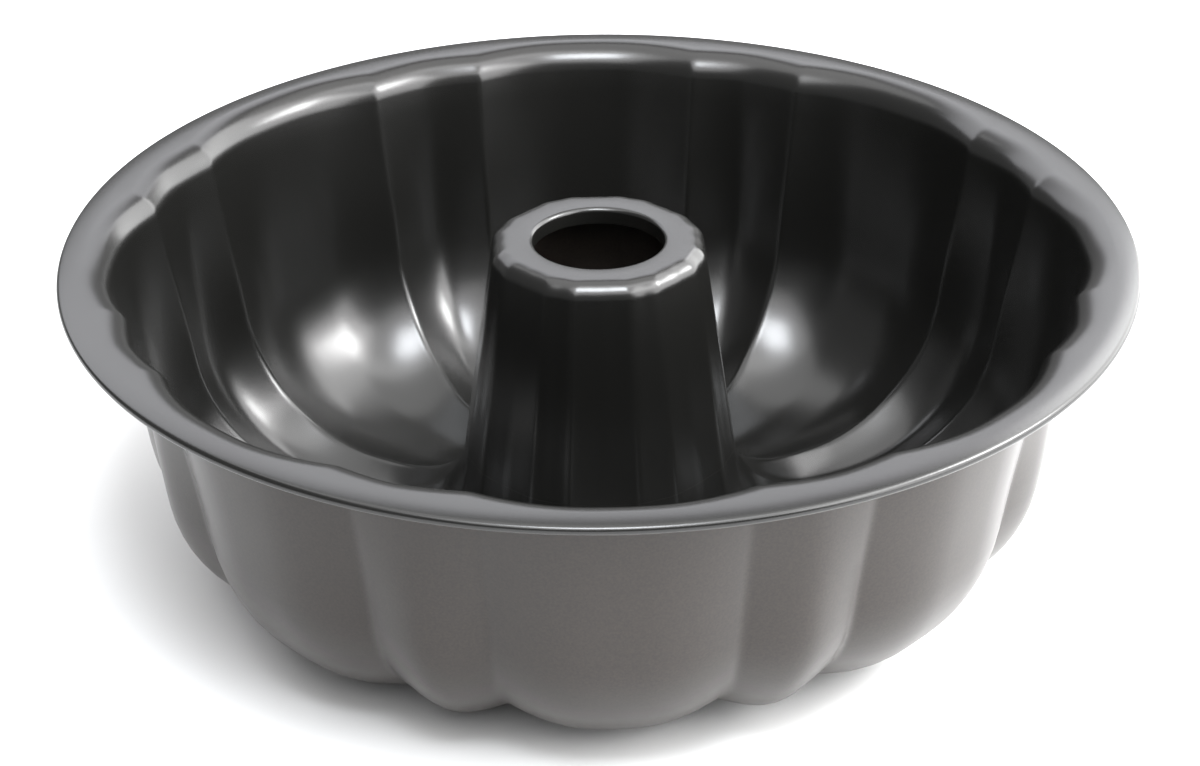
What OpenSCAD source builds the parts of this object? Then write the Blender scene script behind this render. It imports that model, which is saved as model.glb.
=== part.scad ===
// Fluted tube cake pan of coated steel sheet.
// Eight wide and eight narrow flutes run down the wall, across the round floor and up the centre tube.
// Z points up and the pan stands on z = 0, with the tube's axis on the Z axis.
// One wide flute faces -Y.

/* [Overall] */
// Diameter over the rolled rim
rim_d = 260; // [240:2:290]
// Height from the feet to the top of the rolled rim
pan_h = 85.5; // [74:0.5:98]
// Thickness of the steel sheet
sheet = 0.6; // [0.4:0.1:0.9]

/* [Wall and floor] */
// Lean of the wall out of the vertical, in degrees
wall_draft = 8; // [5:0.5:10]
// Radius from the tube's axis to the middle of the feet
foot_r = 65; // [60:0.5:70]
// Length of each foot, measured outwards from the axis
foot_l = 6; // [4:0.5:12]

/* [Rim] */
// Width of the rim, from its outer edge in to the line of the wall
rim_w = 11.4; // [10:0.2:16]
// Diameter of the wire in the rolled rim
wire_d = 1.1; // [0.8:0.1:1.6]
// Step from the top of the rolled rim down to the flange
flange_drop = 0.9; // [0.7:0.05:1.1]
// Radius of the bend from the flange into the wall, on the upper side
rim_bend_r = 5; // [3:0.5:6.5]
// Width of the slit that the curled edge leaves under the rim, in degrees
curl_open = 25; // [10:5:40]

/* [Flutes] */
// Number of wide flutes, each with a narrow one beside it
flutes = 8; // [6:1:10]
// Share of the pitch that a wide flute takes
wide_share = 0.667; // [0.6:0.01:0.75]
// Share of a wide flute that keeps its full radius at the crest
crest_share = 0.2; // [0.1:0.05:0.4]
// Depth of the valleys between the flutes at the flange
valley_rim = 3.25; // [2:0.25:5]
// Depth of the valleys between the flutes on the floor
valley_floor = 4.5; // [3:0.25:6.5]
// Depth of the valleys between the flutes on the tube
valley_tube = 0.7; // [0.3:0.1:1.5]
// Step in from the wide crests to the narrow crests at the flange
narrow_step_rim = 1.9; // [1:0.1:2]
// Step in from the wide crests to the narrow crests on the floor
narrow_step_floor = 0.6; // [0.4:0.1:2.5]
// Step out from the wide faces to the narrow faces on the tube
narrow_step_tube = 0.5; // [0.2:0.1:0.6]
// Width of the rolled ridge between two flutes
ridge_w = 2.4; // [1.2:0.2:3.6]

/* [Centre tube] */
// Height of the tube's top over the top of the rolled rim
tube_rise = 0.5; // [-4:0.5:10]
// Radius of the tube's underside where its side line meets the rim's height
tube_r = 25; // [23:0.5:30]
// Lean of the tube's side out of the vertical, in degrees
tube_draft = 8.3; // [5:0.1:10]
// Radius of the hole through the tube's top
hole_r = 16; // [12:0.5:17]
// Radius of the edge that rolls into the hole
hem_r = 1.1; // [1:0.1:1.6]
// Depth of the straight lip round the hole
lip_h = 3; // [2:0.5:6]
// Radius of the bend from the tube's top into its side, on the upper side
tube_bend_r = 4.5; // [3:0.5:4.5]
// Width of the lap where the tube's foot lies under the floor's collar
lap_w = 6; // [3:0.5:9]
// Gap between the collar's edge and the step in the tube
seam_gap = 0.15; // [0.1:0.05:0.3]

/* [Hidden] */
round_fn = 128;
wire_r = wire_d / 2;
curl_r = wire_r + sheet;
curl_at = rim_d / 2 - curl_r;
curl_side = 240;
flange_z = pan_h - flange_drop;
mouth_r = rim_d / 2 - rim_w;
tube_top = pan_h + tube_rise;

// The flat part of the flange and of the tube's top that is turned, up to these radii
flange_join_r = curl_at - 3.4;
top_join_r = hole_r + hem_r + 1.6;
join_lap = 0.3;

// Radii of the two floor bends, each tangent to the feet's plane and to a straight side
function bend_r(gap, h, lean) = (gap * cos(lean) - h * sin(lean)) / (1 - sin(lean));
outer_bend = bend_r(mouth_r - foot_r - foot_l / 2, pan_h, wall_draft);
inner_bend = bend_r(foot_r - foot_l / 2 - tube_r, pan_h, tube_draft);

// Ease from 0 to 1 with level ends
function ease(t) = t * t * (3 - 2 * t);
function mix(a, b, t) = a + (b - a) * t;

// Centre and underside radius of the bend from the flange into the wall
rim_under_r = rim_bend_r - sheet;
rim_hub = [mouth_r + (rim_under_r + (flange_z - rim_bend_r - pan_h) * sin(wall_draft)) / cos(wall_draft),
           flange_z - rim_bend_r];

// A station is a place on the line that the underside follows at a wide crest:
// [radius, height, way to the upper side, way in which the flutes rise, valley depth, narrow step].
// The two ways are angles in the radial plane, from the outward direction.
rim_bend = [for (i = [0:3]) let (a = mix(90, 180 - wall_draft, i / 3))
    [rim_hub.x + rim_under_r * cos(a), rim_hub.y + rim_under_r * sin(a), a, 180,
     valley_rim, narrow_step_rim]];
flange_edge = [flange_join_r + join_lap, flange_z - sheet, 90, 180, 0, 0];

outer_hub = [foot_r + foot_l / 2, outer_bend];
wall_end = [outer_hub.x + outer_bend * cos(wall_draft), outer_hub.y - outer_bend * sin(wall_draft)];
wall_top = [rim_bend[3][0], rim_bend[3][1]];
wall = [for (i = [1:4]) let (t = i / 4)
    [mix(wall_top.x, wall_end.x, t), mix(wall_top.y, wall_end.y, t), 180 - wall_draft, 180 - wall_draft * t,
     mix(valley_rim, valley_floor, ease(t)), mix(narrow_step_rim, narrow_step_floor, ease(t))]];

floor_out = [for (i = [1:8]) let (a = mix(180 - wall_draft, 90, i / 8))
    [outer_hub.x - outer_bend * cos(a), outer_hub.y - outer_bend * sin(a), a, a,
     valley_floor, narrow_step_floor]];

inner_hub = [foot_r - foot_l / 2, inner_bend];
floor_in = [for (i = [0:7]) let (a = mix(90, tube_draft, i / 7), t = ease(i / 7))
    [inner_hub.x - inner_bend * cos(a), inner_hub.y - inner_bend * sin(a), a, a,
     mix(valley_floor, valley_tube, t), mix(narrow_step_floor, narrow_step_tube, t)]];

tube_foot = floor_in[7];
tube_under_r = tube_bend_r - sheet;
tube_hub = [tube_r - (tube_under_r + (tube_rise - tube_bend_r) * sin(tube_draft)) / cos(tube_draft),
            tube_top - tube_bend_r];
tube_end = [tube_hub.x + tube_under_r * cos(tube_draft), tube_hub.y + tube_under_r * sin(tube_draft)];
tube_l = norm([tube_foot[0] - tube_end.x, tube_foot[1] - tube_end.y]);
function side(d) = let (t = d / tube_l)
    [mix(tube_foot[0], tube_end.x, t), mix(tube_foot[1], tube_end.y, t), tube_draft,
     tube_draft * (1 - t), valley_tube, narrow_step_tube];
collar_edge = side(lap_w);
tube_step = side(lap_w + seam_gap);
tube_side = [for (i = [1:2]) side(mix(lap_w + seam_gap, tube_l, i / 3))];
tube_bend = [for (i = [0:3]) let (a = mix(tube_draft, 90, i / 3))
    [tube_hub.x + tube_under_r * cos(a), tube_hub.y + tube_under_r * sin(a), a, 0, valley_tube,
     narrow_step_tube]];
top_edge = [top_join_r - join_lap, tube_top - sheet, 90, 0, 0, 0];

// Share of a span, in degrees, that half of the rolled ridge takes at radius r
max_roll = 0.6;
function roll_share(r, span) = min(max_roll, ridge_w / 2 / (r * PI / 180) / span);

// A column is one radial plane: [azimuth, place across its flute from 0 at the crest to 1, 1 if wide]
pitch = 360 / flutes;
wide_half = pitch * wide_share / 2;
narrow_half = pitch / 2 - wide_half;
wide_mid = 0.6;
narrow_mid = 0.3;
wide_roll = 1 - roll_share(foot_r, wide_half);
narrow_roll = 1 - roll_share(foot_r, narrow_half);
wide_places = [-1, -wide_roll, -wide_mid, -crest_share, crest_share, wide_mid, wide_roll];
narrow_places = [-1, -narrow_roll, -narrow_mid, 0, narrow_mid, narrow_roll];
columns = [for (k = [0:flutes - 1]) each concat(
    [for (t = wide_places) [k * pitch + t * wide_half, abs(t), 1]],
    [for (t = narrow_places) [(k + 0.5) * pitch + t * narrow_half, abs(t), 0]])];

// Rise from 0 on the crest to 1 in the valley: a round crest, sides that straighten out, and the rolled ridge
function crown(t, soft) = sqrt(t * t + soft * soft) - soft;
function flank(t, soft, roll) = let (
    edge = 1 - roll,
    slope = edge / sqrt(edge * edge + soft * soft),
    past = max(0, t - edge))
    (crown(min(t, edge), soft) + slope * (past - past * past / 2 / roll))
    / (crown(edge, soft) + slope * roll / 2);
wide_soft = 1;
narrow_soft = 0.3;
function rise(s, c) = c[2] == 1
    ? s[4] * flank(max(0, (c[1] - crest_share) / (1 - crest_share)), wide_soft,
                   roll_share(s[0], wide_half * (1 - crest_share)))
    : mix(s[5], s[4], flank(c[1], narrow_soft, roll_share(s[0], narrow_half)));

// The point of a column at a station, lifted off the underside
function place(s, c, lift) = let (d = rise(s, c),
    r = s[0] + lift * cos(s[2]) + d * cos(s[3]),
    z = s[1] + lift * sin(s[2]) + d * sin(s[3]))
    [r * sin(c[0]), -r * cos(c[0]), z];

// Sheet pressed to the flutes: a closed loop of [station, lift] carried round all the columns
module pressed(loop) {
    n = len(loop);
    m = len(columns);
    points = [for (c = columns) each [for (l = loop) place(l[0], c, l[1])]];
    faces = [for (i = [0:m - 1], j = [0:n - 1])
        let (a = i * n, b = (i + 1) % m * n, k = (j + 1) % n)
        each [[a + j, a + k, b + j], [a + k, b + k, b + j]]];
    polyhedron(points, faces, convexity = 10);
}

function reversed(list) = [for (i = [len(list) - 1:-1:0]) list[i]];

// Both sides of a run of stations, with the underside lowered by drop
function both_sides(run, drop) = concat(
    [for (s = run) [s, sheet - drop]],
    [for (s = reversed(run)) [s, -drop]]);

// Section of the rolled rim: the flat flange runs into a curl round the wire
module rim_section() {
    difference() {
        union() {
            translate([curl_at, pan_h - curl_r]) circle(r = curl_r, $fn = round_fn);
            translate([flange_join_r, flange_z - sheet]) square([curl_at - flange_join_r, sheet]);
        }
        translate([curl_at, pan_h - curl_r]) {
            circle(r = wire_r, $fn = round_fn);
            rotate(curl_side) polygon([[0, 0], 2 * curl_r * [1, tan(curl_open / 2)],
                                       2 * curl_r * [1, -tan(curl_open / 2)]]);
        }
    }
}

// Drawn body: flange, wall, floor and the collar that takes the tube
module fluted_shell() {
    color("#4a4a4c") union() {
        pressed(both_sides(concat([flange_edge], rim_bend, wall, floor_out, floor_in, [collar_edge]), 0));
        rotate_extrude($fn = round_fn) rim_section();
    }
}

// Section of the tube's top: the flat ring, the rolled edge and the straight lip round the hole
module lip_section() {
    edge_r = hole_r + hem_r;
    translate([edge_r, tube_top - sheet]) square([top_join_r - edge_r, sheet]);
    translate([hole_r, tube_top - hem_r - lip_h]) square([sheet, lip_h]);
    translate([edge_r, tube_top - hem_r]) intersection() {
        difference() {
            circle(r = hem_r, $fn = round_fn);
            circle(r = hem_r - sheet, $fn = round_fn);
        }
        translate([-hem_r, 0]) square([hem_r, hem_r]);
    }
}

// Drawn tube: its foot is stepped in to lie under the collar, and its top is rolled into the hole
module centre_tube() {
    foot = [tube_foot, collar_edge];
    body = concat([tube_step], tube_side, tube_bend, [top_edge]);
    color("#2c2d2e") union() {
        pressed(concat(
            [for (s = foot) [s, 0]], [for (s = body) [s, sheet]],
            [for (s = reversed(body)) [s, 0]], [for (s = reversed(foot)) [s, -sheet]]));
        rotate_extrude($fn = round_fn) lip_section();
    }
}

// Wire that stiffens the rolled rim
module rim_wire() {
    color("#8d8f92") rotate_extrude($fn = round_fn)
        translate([curl_at, pan_h - curl_r]) circle(r = wire_r, $fn = round_fn);
}

fluted_shell();
centre_tube();
rim_wire();
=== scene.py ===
import math

import bpy
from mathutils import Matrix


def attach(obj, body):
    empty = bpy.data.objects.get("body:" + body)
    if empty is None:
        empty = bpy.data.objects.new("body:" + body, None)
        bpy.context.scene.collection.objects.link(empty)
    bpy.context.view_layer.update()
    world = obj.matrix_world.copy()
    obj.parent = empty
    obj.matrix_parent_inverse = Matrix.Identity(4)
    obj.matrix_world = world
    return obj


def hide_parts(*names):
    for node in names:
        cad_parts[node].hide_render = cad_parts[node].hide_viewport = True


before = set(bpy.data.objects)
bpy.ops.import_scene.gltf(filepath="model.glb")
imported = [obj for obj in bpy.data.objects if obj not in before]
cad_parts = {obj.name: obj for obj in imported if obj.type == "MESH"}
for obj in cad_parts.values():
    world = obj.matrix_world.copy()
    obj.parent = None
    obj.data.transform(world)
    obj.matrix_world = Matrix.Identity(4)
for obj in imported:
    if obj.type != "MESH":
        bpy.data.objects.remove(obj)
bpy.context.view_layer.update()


# View
# The pan is seen from about 27 degrees above its rim, from 0.7 m away and a little to the left of the wide
# flute in front, through an 84 mm lens on a full frame.
view = bpy.data.cameras.new("view")
view.sensor_width = 36
view.lens = 84.16
view.clip_start = 0.05
camera = bpy.data.objects.new("view", view)
camera.location = (-0.01765, -0.60853, 0.39157)
camera.rotation_euler = [math.radians(turn) for turn in (60.3777, 0.3691, -1.8827)]
bpy.context.scene.collection.objects.link(camera)
bpy.context.scene.camera = camera


# Drawn body
# One disc of 0.6 mm carbon steel is drawn and pressed to wide and narrow flutes, which run from the flange
# down the wall and round the floor to the collar. Its edge is rolled round the rim wire.

# Sizes are in millimetres and degrees. The rim: radius, height, width in to the line of the wall, and the
# wire's radius.
SHEET = 0.6
RIM_R, RIM_H, RIM_W, WIRE_R = 130, 85.5, 11.4, 0.55
# The roll round the wire: its radius in the solids, how far out its middle lies, its radius here, a hair
# smaller so that it stays inside the solids' box, and the angles of the coating's end and of its free edge.
CURL_R = WIRE_R + SHEET
CURL_AT = RIM_R - CURL_R
ROLL_R, COAT_END, ROLL_END = CURL_R - 0.05, -35, -185
# The flange is crowned: how far it has turned down where the roll takes it on, the radius of its level
# crest, and the radius of its bend into the wall.
FLANGE_FALL, FLANGE_CREST_R, RIM_BEND = 9, 124.6, 7.4
# The wall's and the tube's lean out of the vertical. The feet are flats on the wide flutes.
WALL_LEAN, TUBE_LEAN = 8, 8.3
FOOT_R, FOOT_L = 65, 6
# Depth of the valleys between the flutes, and the step in to the narrow crests.
VALLEY_RIM, VALLEY_FLOOR, VALLEY_TUBE = 3.25, 4.5, 0.7
STEP_RIM, STEP_FLOOR, STEP_TUBE = 1.9, 0.6, 0.5
# The tube, whose side line the collar follows: radius at the rim's height, top, and bend into the top.
TUBE_R, TUBE_TOP, TUBE_BEND = 25, RIM_H + 0.5, 4.5
# The lap of the collar over the tube's foot, the open seam, and the strip beside each cut edge.
LAP, SEAM, EDGE_STRIP = 6, 0.02, 0.05


def cos(angle):
    return math.cos(math.radians(angle))


def sin(angle):
    return math.sin(math.radians(angle))


def mix(a, b, t):
    return a + (b - a) * t


def ease(t):
    return t * t * (3 - 2 * t)


def spaced(first, last, steps):
    """Evenly spaced values, with both ends among them."""
    return [mix(first, last, i / steps) for i in range(steps + 1)]


def floor_bend(gap, height, lean):
    """Radius of the bend that meets the plane of the feet and a straight side."""
    return (gap * cos(lean) - height * sin(lean)) / (1 - sin(lean))


def top_bend(start, radius, lean, height, side):
    """Centre and underside radius of the bend from a straight side to a flat top."""
    reach = (radius - SHEET + (height - radius - RIM_H) * sin(lean)) / cos(lean)
    return (start + side * reach, height - radius), radius - SHEET


roll_top = (CURL_AT + ROLL_R * sin(FLANGE_FALL), RIM_H - CURL_R + ROLL_R * cos(FLANGE_FALL))
flange_bend = (roll_top[0] - FLANGE_CREST_R) / sin(FLANGE_FALL)
flange_z = roll_top[1] + flange_bend * (1 - cos(FLANGE_FALL))
rim_hub, rim_under = top_bend(RIM_R - RIM_W, RIM_BEND, WALL_LEAN, flange_z, 1)
tube_hub, tube_under = top_bend(TUBE_R, TUBE_BEND, TUBE_LEAN, TUBE_TOP, -1)
outer_bend = floor_bend(RIM_R - RIM_W - FOOT_R - FOOT_L / 2, RIM_H, WALL_LEAN)
inner_bend = floor_bend(FOOT_R - FOOT_L / 2 - TUBE_R, RIM_H, TUBE_LEAN)

# The line of the sheet's underside at a wide crest, from the rim to the collar. A point has its radius and
# height, the way to the upper side, the way in which the flutes rise, the depth of the valleys and the step
# in to a narrow crest.
flange = []
for a in spaced(90 - FLANGE_FALL, 90, 6)[1:]:
    flange.append((FLANGE_CREST_R + (flange_bend - SHEET) * cos(a),
                   flange_z - flange_bend + (flange_bend - SHEET) * sin(a), a, 180, 0, 0))
rim_bend = []
for a in spaced(90, 180 - WALL_LEAN, 9):
    rim_bend.append((rim_hub[0] + rim_under * cos(a), rim_hub[1] + rim_under * sin(a), a, 180,
                     VALLEY_RIM, STEP_RIM))
wall = []
wall_head = rim_bend[-1]
wall_foot = (FOOT_R + FOOT_L / 2 + outer_bend * cos(WALL_LEAN), outer_bend * (1 - sin(WALL_LEAN)))
for t in spaced(0, 1, 7)[1:]:
    wall.append((mix(wall_head[0], wall_foot[0], t), mix(wall_head[1], wall_foot[1], t),
                 180 - WALL_LEAN, 180 - WALL_LEAN * t,
                 mix(VALLEY_RIM, VALLEY_FLOOR, ease(t)), mix(STEP_RIM, STEP_FLOOR, ease(t))))
floor_out = []
for a in spaced(180 - WALL_LEAN, 90, 14)[1:]:
    floor_out.append((FOOT_R + FOOT_L / 2 - outer_bend * cos(a), outer_bend * (1 - sin(a)), a, a,
                      VALLEY_FLOOR, STEP_FLOOR))
floor_in = []
for t in spaced(0, 1, 13):
    a = mix(90, TUBE_LEAN, t)
    floor_in.append((FOOT_R - FOOT_L / 2 - inner_bend * cos(a), inner_bend * (1 - sin(a)), a, a,
                     mix(VALLEY_FLOOR, VALLEY_TUBE, ease(t)), mix(STEP_FLOOR, STEP_TUBE, ease(t))))

tube_foot = floor_in[-1][:2]
tube_head = (tube_hub[0] + tube_under * cos(TUBE_LEAN), tube_hub[1] + tube_under * sin(TUBE_LEAN))
tube_length = math.dist(tube_foot, tube_head)


def tube_side(distance):
    """Point on the tube's straight side, measured up from the floor's bend."""
    t = distance / tube_length
    return (mix(tube_foot[0], tube_head[0], t), mix(tube_foot[1], tube_head[1], t),
            TUBE_LEAN, TUBE_LEAN * (1 - t), VALLEY_TUBE, STEP_TUBE)


# The roll: down its outside to where the coating ends, on to the free edge, and back along the wire. Each
# arc has its radius, its first and last angle, the length of its steps, and whether it is coated. The border
# of the coating lies in the four degrees between the first two.
curl = []
for radius, first, last, step, coated in ((ROLL_R, 90 - FLANGE_FALL, COAT_END, 11, 1),
                                          (ROLL_R, COAT_END - 4, ROLL_END, 11, 0),
                                          (WIRE_R, ROLL_END, 90 - FLANGE_FALL, 30, 0)):
    for a in spaced(first, last, round(abs(last - first) / step)):
        curl.append(((CURL_AT + radius * cos(a), RIM_H - CURL_R + radius * sin(a), 0, 0, 0, 0), 0, coated))

# The closed section: in along the roll and the underside, and back along the upper side. Each point has its
# lift from the underside and whether it is on the coated upper side.
drawn_line = (flange + rim_bend + wall + floor_out + floor_in
              + [tube_side(LAP / 2), tube_side(LAP - EDGE_STRIP), tube_side(LAP)])
drawn_loop = ([(point, 0, 0) for point in reversed(drawn_line)] + curl[::-1]
              + [(point, SHEET, 1) for point in drawn_line])


def section_mesh(name, loop):
    """The sheet's section as a ring of points that carry their flutes, in metres."""
    mesh = bpy.data.meshes.new(name)
    mesh.from_pydata([((point[0] + lift * cos(point[2])) / 1000, 0, (point[1] + lift * sin(point[2])) / 1000)
                      for point, lift, upper in loop], [], [])
    for attribute, kind in (("rise_way", "FLOAT_VECTOR"), ("flute_sizes", "FLOAT_VECTOR"),
                            ("upper_side", "FLOAT")):
        mesh.attributes.new(attribute, kind, "POINT")
    for i, (point, lift, upper) in enumerate(loop):
        mesh.attributes["rise_way"].data[i].vector = (cos(point[3]), 0, sin(point[3]))
        mesh.attributes["flute_sizes"].data[i].vector = (point[4] / 1000, point[5] / 1000, point[0] / 1000)
        mesh.attributes["upper_side"].data[i].value = upper
    return mesh


def add(tree, kind, inputs=None, **settings):
    """Adds a node with its settings, and fills or links its inputs by name or number."""
    node = tree.nodes.new(kind)
    for name, value in settings.items():
        setattr(node, name, value)
    for key, value in (inputs or {}).items():
        socket = node.inputs[key]
        if isinstance(value, bpy.types.NodeSocket):
            tree.links.new(value, socket)
        else:
            socket.default_value = value
    return node


# Rise across half a flute: 0 on the crest and 1 in the valley. The crest is round, the sides straighten out,
# and the last part of them rolls over into the ridge that both flutes share.
crown = bpy.data.node_groups.new("flute_crown", "GeometryNodeTree")
for name, way in (("Place", "INPUT"), ("Softness", "INPUT"), ("Height", "OUTPUT"), ("Slope", "OUTPUT")):
    crown.interface.new_socket(name, in_out=way, socket_type="NodeSocketFloat")
given = add(crown, "NodeGroupInput").outputs
soft_square = add(crown, "ShaderNodeMath", {0: given["Softness"], 1: given["Softness"]},
                  operation="MULTIPLY").outputs[0]
square = add(crown, "ShaderNodeMath", {0: given["Place"], 1: given["Place"], 2: soft_square},
             operation="MULTIPLY_ADD").outputs[0]
arc = add(crown, "ShaderNodeMath", {0: square}, operation="SQRT").outputs[0]
height = add(crown, "ShaderNodeMath", {0: arc, 1: given["Softness"]}, operation="SUBTRACT").outputs[0]
slope = add(crown, "ShaderNodeMath", {0: given["Place"], 1: arc}, operation="DIVIDE").outputs[0]
add(crown, "NodeGroupOutput", {"Height": height, "Slope": slope})

flank = bpy.data.node_groups.new("flute_flank", "GeometryNodeTree")
for name, way in (("Place", "INPUT"), ("Softness", "INPUT"), ("Roll", "INPUT"), ("Rise", "OUTPUT")):
    flank.interface.new_socket(name, in_out=way, socket_type="NodeSocketFloat")
given = add(flank, "NodeGroupInput").outputs
edge = add(flank, "ShaderNodeMath", {0: 1.0, 1: given["Roll"]}, operation="SUBTRACT").outputs[0]
before = add(flank, "ShaderNodeMath", {0: given["Place"], 1: edge}, operation="MINIMUM").outputs[0]
beyond = add(flank, "ShaderNodeMath", {0: given["Place"], 1: before}, operation="SUBTRACT").outputs[0]
crowns = []
for place in (before, edge):
    at_place = add(flank, "GeometryNodeGroup", node_tree=crown)
    flank.links.new(place, at_place.inputs["Place"])
    flank.links.new(given["Softness"], at_place.inputs["Softness"])
    crowns.append(at_place.outputs)
rolled = add(flank, "ShaderNodeMath", {0: beyond, 1: given["Roll"]}, operation="DIVIDE").outputs[0]
ease_off = add(flank, "ShaderNodeMath", {0: rolled, 1: -0.5, 2: 1.0}, operation="MULTIPLY_ADD").outputs[0]
bent = add(flank, "ShaderNodeMath", {0: beyond, 1: ease_off}, operation="MULTIPLY").outputs[0]
climb = add(flank, "ShaderNodeMath", {0: bent, 1: crowns[1]["Slope"], 2: crowns[0]["Height"]},
            operation="MULTIPLY_ADD").outputs[0]
half_roll = add(flank, "ShaderNodeMath", {0: given["Roll"], 1: 0.5}, operation="MULTIPLY").outputs[0]
full_climb = add(flank, "ShaderNodeMath", {0: half_roll, 1: crowns[1]["Slope"], 2: crowns[1]["Height"]},
                 operation="MULTIPLY_ADD").outputs[0]
climbed = add(flank, "ShaderNodeMath", {0: climb, 1: full_climb}, operation="DIVIDE").outputs[0]
add(flank, "NodeGroupOutput", {"Rise": climbed})

# Pressing: the section is carried round the axis, and each point rises by the flute that it falls on. The
# wide flutes take their share of the columns, which crowd towards the ridges, where the sheet bends most.
press = bpy.data.node_groups.new("pressed_sheet", "GeometryNodeTree")
for name, kind in (("Section", "NodeSocketGeometry"), ("Columns", "NodeSocketInt"),
                   ("Flutes", "NodeSocketInt"), ("Column Share", "NodeSocketFloat"),
                   ("Crowding", "NodeSocketFloat"), ("Wide Share", "NodeSocketFloat"),
                   ("Crest Share", "NodeSocketFloat"), ("Wide Softness", "NodeSocketFloat"),
                   ("Narrow Softness", "NodeSocketFloat"), ("Ridge Width", "NodeSocketFloat"),
                   ("Most Roll", "NodeSocketFloat"), ("Weld Distance", "NodeSocketFloat"),
                   ("Cut Angle", "NodeSocketFloat"), ("Inner Coating", "NodeSocketMaterial"),
                   ("Outer Coating", "NodeSocketMaterial")):
    press.interface.new_socket(name, in_out="INPUT", socket_type=kind)
press.interface.new_socket("Sheet", in_out="OUTPUT", socket_type="NodeSocketGeometry")
given = add(press, "NodeGroupInput").outputs
rows = add(press, "GeometryNodeAttributeDomainSize",
           {"Geometry": given["Section"]}).outputs["Point Count"]
rows_closed = add(press, "ShaderNodeMath", {0: rows, 1: 1.0}, operation="ADD").outputs[0]
columns_closed = add(press, "ShaderNodeMath", {0: given["Columns"], 1: 1.0}, operation="ADD").outputs[0]
grid = add(press, "GeometryNodeMeshGrid",
           {"Vertices X": columns_closed, "Vertices Y": rows_closed}).outputs["Mesh"]
index = add(press, "GeometryNodeInputIndex").outputs[0]
column_exact = add(press, "ShaderNodeMath", {0: index, 1: rows_closed}, operation="DIVIDE").outputs[0]
column = add(press, "ShaderNodeMath", {0: column_exact}, operation="FLOOR").outputs[0]
row_closed = add(press, "ShaderNodeMath", {0: index, 1: rows_closed}, operation="MODULO").outputs[0]
row = add(press, "ShaderNodeMath", {0: row_closed, 1: rows}, operation="MODULO").outputs[0]

section_at = add(press, "GeometryNodeSampleIndex",
                 {"Geometry": given["Section"], "Value": add(press, "GeometryNodeInputPosition").outputs[0],
                  "Index": row}, data_type="FLOAT_VECTOR").outputs["Value"]
sampled = []
for name, kind in (("rise_way", "FLOAT_VECTOR"), ("flute_sizes", "FLOAT_VECTOR"), ("upper_side", "FLOAT")):
    named = add(press, "GeometryNodeInputNamedAttribute", {"Name": name}, data_type=kind)
    sampled.append(add(press, "GeometryNodeSampleIndex",
                       {"Geometry": given["Section"], "Value": named.outputs["Attribute"], "Index": row},
                       data_type=kind).outputs["Value"])
way_at, sizes_at, upper_at = sampled
valley_at, step_at, radius_at = add(press, "ShaderNodeSeparateXYZ", {0: sizes_at}).outputs

# Place across the flutes, in half pitches: 0 on a wide crest and 1 on a narrow one.
half_pitch = add(press, "ShaderNodeMath", {0: math.pi, 1: given["Flutes"]}, operation="DIVIDE").outputs[0]
half_flutes = add(press, "ShaderNodeMath", {0: given["Flutes"], 1: 2.0}, operation="MULTIPLY").outputs[0]
turn = add(press, "ShaderNodeMath", {0: column, 1: given["Columns"]}, operation="DIVIDE").outputs[0]
flute_turn = add(press, "ShaderNodeMath", {0: turn, 1: half_flutes}, operation="MULTIPLY").outputs[0]
across = add(press, "ShaderNodeMath", {0: flute_turn, 1: 1.0}, operation="PINGPONG").outputs[0]
is_narrow = add(press, "ShaderNodeMath", {0: across, 1: given["Column Share"]},
                operation="GREATER_THAN").outputs[0]
wide_even = add(press, "ShaderNodeMapRange", {"Value": across, "From Max": given["Column Share"],
                                              "To Min": 1.0, "To Max": 0.0}).outputs[0]
narrow_even = add(press, "ShaderNodeMapRange",
                  {"Value": across, "From Min": given["Column Share"]}).outputs[0]
wide_left = add(press, "ShaderNodeMath", {0: wide_even, 1: given["Crowding"]}, operation="POWER").outputs[0]
narrow_left = add(press, "ShaderNodeMath", {0: narrow_even, 1: given["Crowding"]},
                  operation="POWER").outputs[0]
wide_offset = add(press, "ShaderNodeMapRange", {"Value": wide_left, "To Min": given["Wide Share"],
                                                "To Max": 0.0}).outputs[0]
narrow_offset = add(press, "ShaderNodeMapRange", {"Value": narrow_left, "To Min": given["Wide Share"],
                                                  "To Max": 1.0}).outputs[0]
offset = add(press, "GeometryNodeSwitch", {"Switch": is_narrow, "False": wide_offset, "True": narrow_offset},
             input_type="FLOAT").outputs[0]
wide_turn = add(press, "ShaderNodeMath", {0: flute_turn, 1: 0.5}, operation="MULTIPLY").outputs[0]
crest = add(press, "ShaderNodeMath", {0: wide_turn}, operation="ROUND").outputs[0]
beside = add(press, "ShaderNodeMath", {0: wide_turn, 1: crest}, operation="SUBTRACT").outputs[0]
side_sign = add(press, "ShaderNodeMath", {0: beside}, operation="SIGN").outputs[0]
crest_turn = add(press, "ShaderNodeMath", {0: crest, 1: 2.0}, operation="MULTIPLY").outputs[0]
place_turn = add(press, "ShaderNodeMath", {0: side_sign, 1: offset, 2: crest_turn},
                 operation="MULTIPLY_ADD").outputs[0]
azimuth = add(press, "ShaderNodeMath", {0: place_turn, 1: half_pitch, 2: -math.pi / 2},
              operation="MULTIPLY_ADD").outputs[0]

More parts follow.
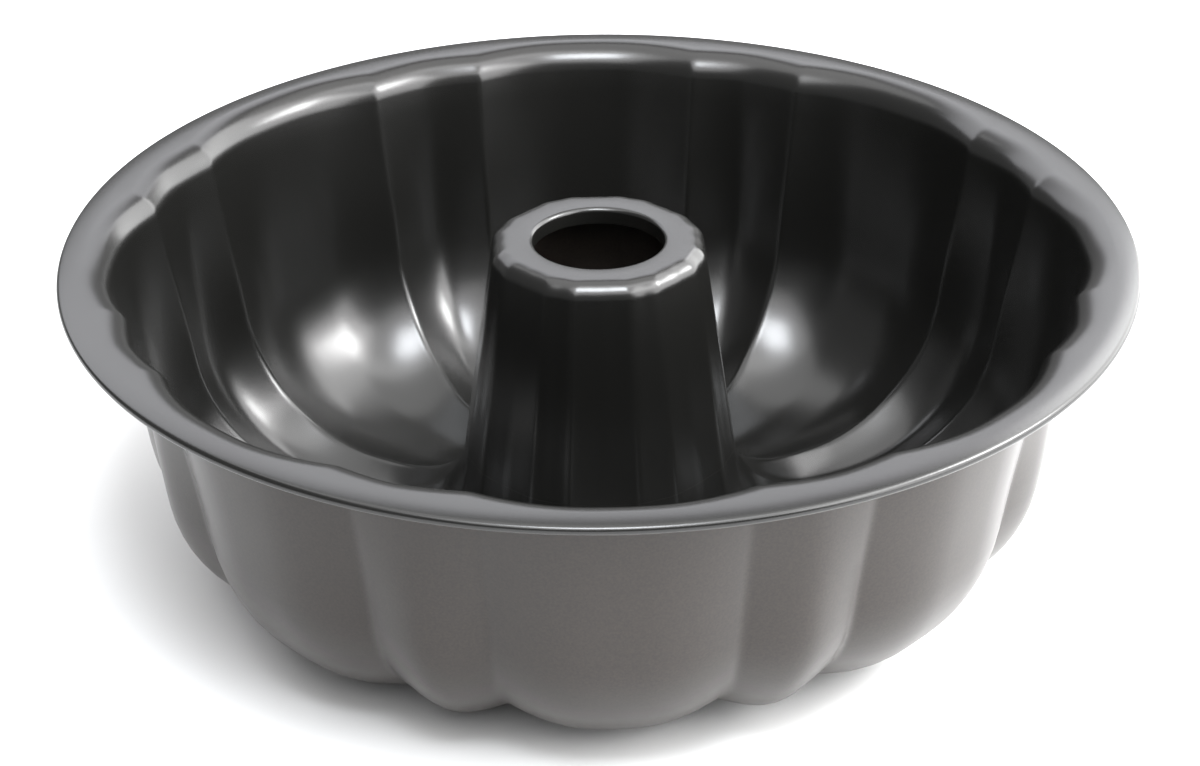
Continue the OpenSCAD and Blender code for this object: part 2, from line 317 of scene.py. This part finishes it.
# Half of the ridge's width, as a share of the part of a flute that rises, and the rise of each flute there.
ridge_turn = add(press, "ShaderNodeMath", {0: given["Ridge Width"], 1: radius_at},
                 operation="DIVIDE").outputs[0]
ridge_share = add(press, "ShaderNodeMath", {0: ridge_turn, 1: half_pitch}, operation="DIVIDE").outputs[0]
half_ridge = add(press, "ShaderNodeMath", {0: ridge_share, 1: 0.5}, operation="MULTIPLY").outputs[0]
wide_rising = add(press, "ShaderNodeMapRange", {"Value": given["Crest Share"], "To Min": given["Wide Share"],
                                                "To Max": 0.0}).outputs[0]
narrow_rising = add(press, "ShaderNodeMath", {0: 1.0, 1: given["Wide Share"]},
                    operation="SUBTRACT").outputs[0]
rises = []
for left, rising, softness, flat in ((wide_left, wide_rising, "Wide Softness", given["Crest Share"]),
                                     (narrow_left, narrow_rising, "Narrow Softness", 0.0)):
    roll_share = add(press, "ShaderNodeMath", {0: half_ridge, 1: rising}, operation="DIVIDE").outputs[0]
    roll = add(press, "ShaderNodeMath", {0: roll_share, 1: given["Most Roll"]},
               operation="MINIMUM").outputs[0]
    from_crest = add(press, "ShaderNodeMapRange", {"Value": left, "From Min": 1.0, "From Max": 0.0,
                                                   "To Max": 1.0}).outputs[0]
    past_flat = add(press, "ShaderNodeMapRange", {"Value": from_crest, "From Min": flat}).outputs[0]
    rising_flank = add(press, "GeometryNodeGroup", node_tree=flank)
    press.links.new(past_flat, rising_flank.inputs["Place"])
    press.links.new(given[softness], rising_flank.inputs["Softness"])
    press.links.new(roll, rising_flank.inputs["Roll"])
    rises.append(rising_flank.outputs["Rise"])
wide_depth = add(press, "ShaderNodeMath", {0: rises[0], 1: valley_at}, operation="MULTIPLY").outputs[0]
narrow_depth = add(press, "ShaderNodeMapRange",
                   {"Value": rises[1], "To Min": step_at, "To Max": valley_at}).outputs[0]
depth = add(press, "GeometryNodeSwitch", {"Switch": is_narrow, "False": wide_depth, "True": narrow_depth},
            input_type="FLOAT").outputs[0]
risen = add(press, "ShaderNodeVectorMath", {0: way_at, "Scale": depth}, operation="SCALE").outputs[0]
pressed_at = add(press, "ShaderNodeVectorMath", {0: section_at, 1: risen}, operation="ADD").outputs[0]
carried = add(press, "ShaderNodeVectorRotate", {"Vector": pressed_at, "Angle": azimuth},
              rotation_type="Z_AXIS").outputs[0]

# The grid is set to these places and welded, its cut edges stay sharp, and each side gets its coating.
marked = add(press, "GeometryNodeStoreNamedAttribute",
             {"Geometry": grid, "Name": "upper_side", "Value": upper_at},
             data_type="FLOAT", domain="POINT").outputs[0]
swept = add(press, "GeometryNodeSetPosition", {"Geometry": marked, "Position": carried}).outputs[0]
welded = add(press, "GeometryNodeMergeByDistance",
             {"Geometry": swept, "Distance": given["Weld Distance"]}).outputs[0]
smooth = add(press, "GeometryNodeSetShadeSmooth", {"Geometry": welded}).outputs[0]
corner = add(press, "GeometryNodeInputMeshEdgeAngle").outputs[0]
is_cut = add(press, "FunctionNodeCompare", {"A": corner, "B": given["Cut Angle"]},
             data_type="FLOAT", operation="GREATER_THAN").outputs[0]
cut_edges = add(press, "GeometryNodeSetShadeSmooth",
                {"Geometry": smooth, "Selection": is_cut, "Shade Smooth": False}, domain="EDGE").outputs[0]
solid = add(press, "GeometryNodeRealizeInstances", {"Geometry": cut_edges}).outputs[0]
upper_side = add(press, "GeometryNodeInputNamedAttribute", {"Name": "upper_side"},
                 data_type="FLOAT").outputs["Attribute"]
# Only a face with all its corners on the upper side has the full mark of 1.
is_upper = add(press, "FunctionNodeCompare", {"A": upper_side, "B": 0.9},
               data_type="FLOAT", operation="GREATER_THAN").outputs[0]
outer = add(press, "GeometryNodeSetMaterial",
            {"Geometry": solid, "Material": given["Outer Coating"]}).outputs[0]
coated_sheet = add(press, "GeometryNodeSetMaterial",
                   {"Geometry": outer, "Selection": is_upper, "Material": given["Inner Coating"]}).outputs[0]
add(press, "NodeGroupOutput", {"Sheet": coated_sheet})


def colour(code):
    """Linear colour of an sRGB hex code."""
    parts = [int(code[i:i + 2], 16) / 255 for i in (1, 3, 5)]
    return [part / 12.92 if part < 0.04045 else ((part + 0.055) / 1.055) ** 2.4 for part in parts] + [1]


# Silicone release coating, sprayed inside the pan and baked: dark, even and glossy, with the slight orange
# peel of a sprayed film about 2 mm across, and a faint haze over 40 mm or so where it is thicker.
release_coat = bpy.data.materials.new("silicone_release_coat")
release_coat.use_nodes = True
tree = release_coat.node_tree
tree.nodes.clear()
surface = add(tree, "ShaderNodeTexCoord").outputs["Object"]
peel = add(tree, "ShaderNodeTexNoise", {"Vector": surface, "Scale": 1 / 0.002, "Detail": 1.0,
                                        "Roughness": 0.4}).outputs[0]
haze = add(tree, "ShaderNodeTexNoise", {"Vector": surface, "Scale": 1 / 0.04, "Detail": 3.0}).outputs[0]
gloss = add(tree, "ShaderNodeMapRange", {"Value": haze, "To Min": 0.22, "To Max": 0.28}).outputs[0]
relief = add(tree, "ShaderNodeBump", {"Height": peel, "Strength": 0.06, "Distance": 0.0001}).outputs[0]
coating = add(tree, "ShaderNodeBsdfPrincipled", {"Roughness": gloss, "Normal": relief})
coating.inputs["Base Color"].default_value = colour("#0b0b0a")
coating.inputs["IOR"].default_value = 1.5
add(tree, "ShaderNodeOutputMaterial", {"Surface": coating.outputs[0]})

# Heat-resistant grey paint on the outside, rolled on the flat sheet before drawing: a satin, warm dark grey
# whose gloss wavers over 15 mm or so, with the shallow tooth of a rolled film about 1.2 mm across. Its
# metallic grains are finer than 0.1 mm and are drawn 0.6 mm across, as coarse as they need to be to show.
oven_paint = bpy.data.materials.new("satin_oven_paint")
oven_paint.use_nodes = True
tree = oven_paint.node_tree
tree.nodes.clear()
surface = add(tree, "ShaderNodeTexCoord").outputs["Object"]
grains = add(tree, "ShaderNodeTexNoise", {"Vector": surface, "Scale": 1 / 0.0006, "Detail": 1.0}).outputs[0]
shade = add(tree, "ShaderNodeMapRange", {"Value": grains, "From Min": 0.3, "From Max": 0.7}).outputs[0]
tint = add(tree, "ShaderNodeMix", {0: shade, 6: colour("#221e1c"), 7: colour("#2b2622")},
           data_type="RGBA").outputs[2]
waver = add(tree, "ShaderNodeTexNoise", {"Vector": surface, "Scale": 1 / 0.015, "Detail": 2.0}).outputs[0]
gloss = add(tree, "ShaderNodeMapRange", {"Value": waver, "To Min": 0.26, "To Max": 0.34}).outputs[0]
tooth = add(tree, "ShaderNodeTexNoise", {"Vector": surface, "Scale": 1 / 0.0012, "Detail": 1.0}).outputs[0]
relief = add(tree, "ShaderNodeBump", {"Height": tooth, "Strength": 0.06, "Distance": 0.00006}).outputs[0]
paint = add(tree, "ShaderNodeBsdfPrincipled", {"Base Color": tint, "Roughness": gloss, "Normal": relief})
paint.inputs["IOR"].default_value = 1.38
add(tree, "ShaderNodeOutputMaterial", {"Surface": paint.outputs[0]})


def pressed_piece(name, loop):
    """A piece of pressed sheet as a plain mesh: the section swept round by the tree above."""
    blank = bpy.data.objects.new(name + "_blank", section_mesh(name + "_section", loop))
    bpy.context.scene.collection.objects.link(blank)
    pressing = blank.modifiers.new("pressing", "NODES")
    pressing.node_group = press
    settings = {"Columns": 640, "Column Share": 0.6, "Crowding": 1.6, "Flutes": 8, "Wide Share": 0.667,
                "Crest Share": 0.2, "Wide Softness": 1.0, "Narrow Softness": 0.3, "Ridge Width": 0.0024,
                "Most Roll": 0.6, "Weld Distance": 0.000002, "Cut Angle": math.radians(50),
                "Inner Coating": release_coat, "Outer Coating": oven_paint}
    for item in press.interface.items_tree:
        if item.name in settings:
            pressing[item.identifier] = settings[item.name]
    shaped = blank.evaluated_get(bpy.context.evaluated_depsgraph_get())
    mesh = bpy.data.meshes.new_from_object(shaped)
    mesh.name = name
    blank.modifiers.clear()
    bpy.data.objects.remove(blank)
    piece = bpy.data.objects.new(name, mesh)
    bpy.context.scene.collection.objects.link(piece)
    return piece


body = pressed_piece("drawn_body", drawn_loop)
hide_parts("fluted_shell")
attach(body, "root")


# Centre tube
# A tapered steel tube, pressed to the same flutes but shallower. Its foot lies stepped in under the body's
# collar, and its top turns in to a flat ring whose edge rolls down into the hole.

# The hole's radius, the radius of the roll into it, its straight lip, and how far out from the roll the
# flat ring stays plain.
HOLE_R, HEM_R, LIP_H, PLAIN_RING = 16, 1.1, 3, 2.6
tube_bend = []
for a in spaced(TUBE_LEAN, 90, 10):
    tube_bend.append((tube_hub[0] + tube_under * cos(a), tube_hub[1] + tube_under * sin(a), a, 0,
                      VALLEY_TUBE, STEP_TUBE))
ring = [(HOLE_R + HEM_R + PLAIN_RING, TUBE_TOP - SHEET, 90, 0, 0, 0)]
for a in spaced(90, 180, 6):
    ring.append((HOLE_R + HEM_R + (HEM_R - SHEET) * cos(a), TUBE_TOP - HEM_R + (HEM_R - SHEET) * sin(a),
                 a, 0, 0, 0))
ring.append((HOLE_R + SHEET, TUBE_TOP - HEM_R - LIP_H, 180, 0, 0, 0))

# The foot is tucked under the collar, and the rest of the side stands flush with the collar above the seam.
tucked = [tube_side(0), tube_side(LAP / 2), tube_side(LAP)]
side_start = LAP + SEAM + EDGE_STRIP
side = [tube_side(LAP + SEAM)] + [tube_side(distance) for distance in spaced(side_start, tube_length, 4)[:-1]]
shown = side + tube_bend + ring
tube_loop = ([(point, 0, 0) for point in tucked] + [(point, SHEET, 1) for point in shown]
             + [(point, 0, 0) for point in reversed(shown)]
             + [(point, -SHEET, 0) for point in reversed(tucked)])
tube = pressed_piece("centre_tube_pressed", tube_loop)
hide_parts("centre_tube")
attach(tube, "root")


# Rim wire
# A drawn steel wire, bright and bare, closed in by the roll of the body's edge. It is the CAD piece with a
# finish of its own, and only a narrow slit under the flange leads to it.

# Drawn steel: a bright grey metal with a fine, even haze from the die, in grains about 0.5 mm long.
wire_steel = bpy.data.materials.new("drawn_steel_wire")
wire_steel.use_nodes = True
tree = wire_steel.node_tree
tree.nodes.clear()
surface = add(tree, "ShaderNodeTexCoord").outputs["Object"]
drawing = add(tree, "ShaderNodeTexNoise", {"Vector": surface, "Scale": 1 / 0.0005, "Detail": 2.0}).outputs[0]
gloss = add(tree, "ShaderNodeMapRange", {"Value": drawing, "To Min": 0.25, "To Max": 0.4}).outputs[0]
steel = add(tree, "ShaderNodeBsdfPrincipled", {"Roughness": gloss})
steel.inputs["Base Color"].default_value = colour("#a9abad")
steel.inputs["Metallic"].default_value = 1.0
add(tree, "ShaderNodeOutputMaterial", {"Surface": steel.outputs[0]})
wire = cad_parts["rim_wire"]
wire.data.materials.clear()
wire.data.materials.append(wire_steel)


# Floor and light
# A plain white table under a dim white sky. A wide backdrop, a ceiling panel and two soft panels light the
# pan, and a small softbox on the right and another over the camera give it its bright spots.
TABLE_REACH = 3
table = bpy.data.meshes.new("table")
table.from_pydata([(-TABLE_REACH, -TABLE_REACH, 0), (TABLE_REACH, -TABLE_REACH, 0),
                   (TABLE_REACH, TABLE_REACH, 0), (-TABLE_REACH, TABLE_REACH, 0)], [], [(0, 1, 2, 3)])
table_top = bpy.data.objects.new("table", table)
bpy.context.scene.collection.objects.link(table_top)

# Matt white laminate: pale and plain, so that the pan's outside has something even to mirror.
table_white = bpy.data.materials.new("white_table")
table_white.use_nodes = True
table_finish = table_white.node_tree.nodes["Principled BSDF"]
table_finish.inputs["Base Color"].default_value = colour("#cecece")
table_finish.inputs["Roughness"].default_value = 0.9
table.materials.append(table_white)

sky = bpy.data.worlds.new("sky")
sky.use_nodes = True
sky_light = sky.node_tree.nodes["Background"]
sky_light.inputs["Color"].default_value = (1, 1, 1, 1)
sky_light.inputs["Strength"].default_value = 0.4
bpy.context.scene.world = sky
bpy.context.scene.view_settings.view_transform = "Standard"

# Each light by its turn from behind the pan to the right and its height, in degrees, its distance, its width
# and height in metres, how bright its face is, and its colour. All are aimed at the middle of the pan.
AIM_HEIGHT = 0.05
for name, turned, raised, away, wide, high, bright, tone in (
        ("backdrop", -12, 35, 2.2, 3.2, 0.9, 3.3, "#f9faff"),
        ("ceiling", 0, 80, 1.5, 1.8, 1.3, 2.6, "#ffffff"),
        ("panel_right", 86, 30, 0.65, 1.5, 0.7, 7.3, "#ffffff"),
        ("panel_front", 160, 60, 1.6, 2.2, 1.5, 4.5, "#ffffff"),
        ("softbox_right", 94, 39, 0.6, 0.19, 0.21, 32, "#ffffff"),
        ("softbox_front", 180, 63, 1.2, 0.38, 0.42, 30, "#f6faff")):
    lamp = bpy.data.lights.new(name, "AREA")
    lamp.shape = "RECTANGLE"
    lamp.size = wide
    lamp.size_y = high
    lamp.energy = math.pi * wide * high * bright
    lamp.color = colour(tone)[:3]
    holder = bpy.data.objects.new(name, lamp)
    holder.location = (away * cos(raised) * sin(turned), away * cos(raised) * cos(turned),
                       away * sin(raised) + AIM_HEIGHT)
    holder.rotation_euler = (math.radians(90 - raised), 0, math.radians(180 - turned))
    holder.visible_camera = False
    bpy.context.scene.collection.objects.link(holder)
